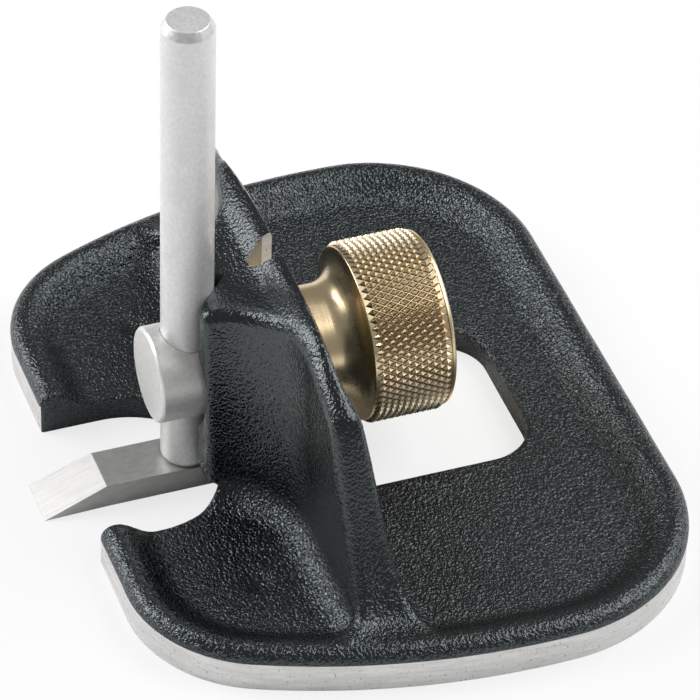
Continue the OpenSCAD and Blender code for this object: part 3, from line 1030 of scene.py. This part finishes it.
def bore_material(name, shade_of):
    """Machined iron inside a groove or bore, darkened as painted shade."""
    m = Shader(name)
    # Painted shade: the machined colour darkened by shade_of
    base = tint(paint_colour("machined"), shade_of)
    lines = m.noise(1800, 3, 0.6, m.mapping((1.0, 1.0, 0.15)))
    m.put(m.blend(m.span(lines, 0.3, 0.7), tint(base, 0.8), tint(base, 1.3)), "Base Color")
    m.set(Metallic=1.0)
    m.put(m.span(lines, 0.3, 0.7, 0.4, 0.55), "Roughness")
    m.put(m.bump(lines, 0.00002), "Normal")
    return m.material


# Each steel: its name and colour, the grain's stretch, scale and contrast,
# its roughness, how much lighter it is than its colour, and how metallic
STEELS = {
    "shank": ("satin shank steel", "shank", (1, 1, 0.8), 2400, 0.12, 0.42, 1.0, 0.6),
    "collar": ("turned collar steel", "collar", (1, 1, 1), 2000, 0.12, 0.42, 1.0, 0.5),
    "foot": ("foot steel", "foot", (1, 0.35, 1), 2200, 0.16, 0.42, 1.0, 0.6),
    "bevel": ("ground bevel", "foot", (1, 0.06, 0.06), 2600, 0.14, 0.4, 1.33, 0.6),
}


def steel_material(kind):
    """Steel with a fine grain drawn out along one direction."""
    name, key, stretch, grain, contrast, rough, lighter, metal = STEELS[kind]
    m = Shader(name)
    base = tint(paint_colour(key), lighter)
    fine = m.noise(grain, 4, 0.65, m.mapping(stretch))
    cloud = m.noise(260, 3, 0.6)
    dark, light = tint(base, 1 - contrast), tint(base, 1 + contrast)
    tone = m.blend(m.span(fine, 0.25, 0.75), dark, light)
    m.put(m.blend(m.span(cloud, 0.45, 0.75, 0, 0.5), tone, tint(base, 0.86)), "Base Color")
    m.set(Metallic=metal)
    m.put(m.span(fine, 0.25, 0.75, rough - 0.06, rough + 0.08), "Roughness")
    m.put(m.bump(fine, 0.00002), "Normal")
    return m.material


def brass_material():
    """Turned brass, polished, with faint rings."""
    m = Shader("turned brass")
    base = paint_colour("brass")
    rings = m.noise(5000, 2, 0.6, m.mapping((0.01, 1, 0.01)))
    cloud = m.noise(300, 3, 0.6)
    tone = m.blend(m.span(rings, 0.3, 0.7), tint(base, 1.02), tint(base, 1.17))
    m.put(m.blend(m.span(cloud, 0.45, 0.8, 0, 0.6), tone, tint(base, 0.88)), "Base Color")
    m.set(Metallic=1.0)
    m.put(m.span(cloud, 0.3, 0.7, 0.24, 0.34), "Roughness")
    m.put(m.bump(rings, 0.000008), "Normal")
    return m.material


def knurl_material():
    """Knurled brass, with painted shade between the points."""
    m = Shader("knurled brass")
    base = paint_colour("brass")
    speck = m.noise(2500, 3, 0.6)
    top = half_width(KNOB_BOX) * MM
    tone = m.blend(m.span(speck, 0.3, 0.7), tint(base, 1.15), (0.99, 0.88, 0.68))
    # Painted shade: the valleys between the diamonds turn dark brown below the points' tops
    share = m.span(m.radius(CLAMP_Z), top - 0.00044, top - 0.00024, 0.0, 1.0)
    m.put(m.blend(share, (0.15, 0.08, 0.03), tone), "Base Color")
    m.set(Metallic=1.0)
    m.put(m.span(speck, 0.3, 0.7, 0.2, 0.3), "Roughness")
    return m.material


# ---- stage


class ROUTER_OT_stage(Operator):
    """Set up the floor, the lamps, the world and the camera"""

    bl_idname = "router.stage"
    bl_label = "Stage"

    def execute(self, context):
        scene = context.scene
        settings = scene.router_stage
        half = settings.floor_size / 2
        mesh = bpy.data.meshes.new("floor")
        corners = [(-half, -half, 0), (half, -half, 0), (half, half, 0), (-half, half, 0)]
        mesh.from_pydata(corners, [], [(0, 1, 2, 3)])
        floor = bpy.data.objects.new("floor", mesh)
        scene.collection.objects.link(floor)
        mesh.materials.append(self.floor_material())
        self.world(scene)
        self.camera(scene)
        self.lamp("key", (-0.49, -0.69, 0.56), (0.65, 0.75), settings.key_power, scene)
        self.lamp("fill", (0.06, 0.66, 0.77), (1.1, 0.75), settings.fill_power, scene)
        scene.view_settings.view_transform = "Standard"
        return {"FINISHED"}

    def floor_material(self):
        m = Shader("pale floor")
        m.set(Base_Color=(0.9, 0.9, 0.9, 1), Roughness=0.9, Specular_IOR_Level=0.1)
        light = m.node("ShaderNodeEmission", {"Color": (1, 1, 1, 1)})
        self.show_camera(m.tree, 0.75, m.surface, light, "Material Output")
        return m.material

    def world(self, scene):
        world = bpy.data.worlds.new("studio")
        world.use_nodes = True
        tree, white = world.node_tree, (1, 1, 1, 1)
        back = new_node(tree, "ShaderNodeBackground", {"Color": white, "Strength": 0.25})
        plain = new_node(tree, "ShaderNodeBackground", {"Color": white})
        self.show_camera(tree, 1.0, back, plain, "World Output")
        scene.world = world

    def show_camera(self, tree, share, usual, shown, output):
        """Mixes in another shader where the camera looks, and leaves the light as it is."""
        rays = new_node(tree, "ShaderNodeLightPath").outputs["Is Camera Ray"]
        part = new_node(tree, "ShaderNodeMath", {0: rays, 1: share}, operation="MULTIPLY")
        given = {0: part.outputs[0], 1: usual.outputs[0], 2: shown.outputs[0]}
        mix = new_node(tree, "ShaderNodeMixShader", given)
        tree.links.new(mix.outputs[0], tree.nodes[output].inputs["Surface"])

    def lamp(self, name, place, size, energy, scene):
        """An area lamp that looks at the middle of the tool."""
        data = bpy.data.lights.new(name, "AREA")
        data.shape = "RECTANGLE"
        data.size, data.size_y = size
        data.energy = energy
        lamp = bpy.data.objects.new(name, data)
        lamp.location = place
        away = Vector(place) - Vector((0, 0, 0.02))
        lamp.rotation_euler = away.to_track_quat("Z", "Y").to_euler()
        scene.collection.objects.link(lamp)

    def camera(self, scene):
        turn, tilt, roll = (radians(v) for v in (69.31, 40.62, 1.81))
        focus, away, picture = 5000.0, 565.6 * MM, 700.0
        level = cos(tilt)
        ahead = Vector((-sin(turn) * level, cos(turn) * level, -sin(tilt)))
        right = Vector((cos(turn), sin(turn), 0))
        up = right.cross(ahead)
        across = right * cos(roll) + up * sin(roll)
        upward = up * cos(roll) - right * sin(roll)
        seen = Vector((186.5, 455.4))
        target = Vector((0, AXIS_Y, 2.39 * MM))
        side = (seen[0] - picture / 2) / focus * away
        rise = -(seen[1] - picture / 2) / focus * away
        place = target - ahead * away - across * side - upward * rise
        data = bpy.data.cameras.new("camera")
        data.sensor_width = 36.0
        data.lens = focus / picture * 36.0
        data.clip_start, data.clip_end = 0.01, 20.0
        camera = bpy.data.objects.new("camera", data)
        facing = Matrix((across, upward, -ahead)).transposed()
        camera.matrix_world = Matrix.Translation(place) @ facing.to_4x4()
        scene.collection.objects.link(camera)
        scene.camera = camera


# ---- panel and run


OPERATORS = (
    ROUTER_OT_stage,
    ROUTER_OT_casting,
    ROUTER_OT_collar,
    ROUTER_OT_stud,
    ROUTER_OT_knob,
    ROUTER_OT_shank,
    ROUTER_OT_foot,
)
GROUPS = {
    "casting": CastingSizes,
    "knob": KnobSizes,
    "blade": BladeSizes,
    "finishes": Finishes,
    "stage": StageSettings,
}
for group_key, group_class in GROUPS.items():
    group_class.key_name = group_key


class ROUTER_PT_panel(Panel):
    """Lists the pieces and their sizes"""

    bl_label = "Router Plane"
    bl_idname = "ROUTER_PT_panel"
    bl_space_type = "VIEW_3D"
    bl_region_type = "UI"
    bl_category = "Router Plane"

    def draw(self, context):
        for operator in OPERATORS:
            self.layout.operator(operator.bl_idname)
        for key, group in GROUPS.items():
            box = self.layout.box()
            box.label(text=key.title())
            owner = getattr(context.scene, "router_" + key)
            for name in group.__annotations__:
                box.prop(owner, name, text=name.replace("_", " ").capitalize())


def register():
    for item in (*GROUPS.values(), *OPERATORS, ROUTER_PT_panel):
        bpy.utils.register_class(item)
    for key, group in GROUPS.items():
        setattr(bpy.types.Scene, "router_" + key, PointerProperty(type=group))


def unregister():
    for key in GROUPS:
        delattr(bpy.types.Scene, "router_" + key)
    for item in reversed((*GROUPS.values(), *OPERATORS, ROUTER_PT_panel)):
        bpy.utils.unregister_class(item)


def main():
    register()
    bpy.ops.router.stage()
    bpy.ops.router.casting()
    bpy.ops.router.collar()
    bpy.ops.router.stud()
    bpy.ops.router.knob()
    bpy.ops.router.shank()
    bpy.ops.router.foot()


if __name__ == "__main__":
    main()
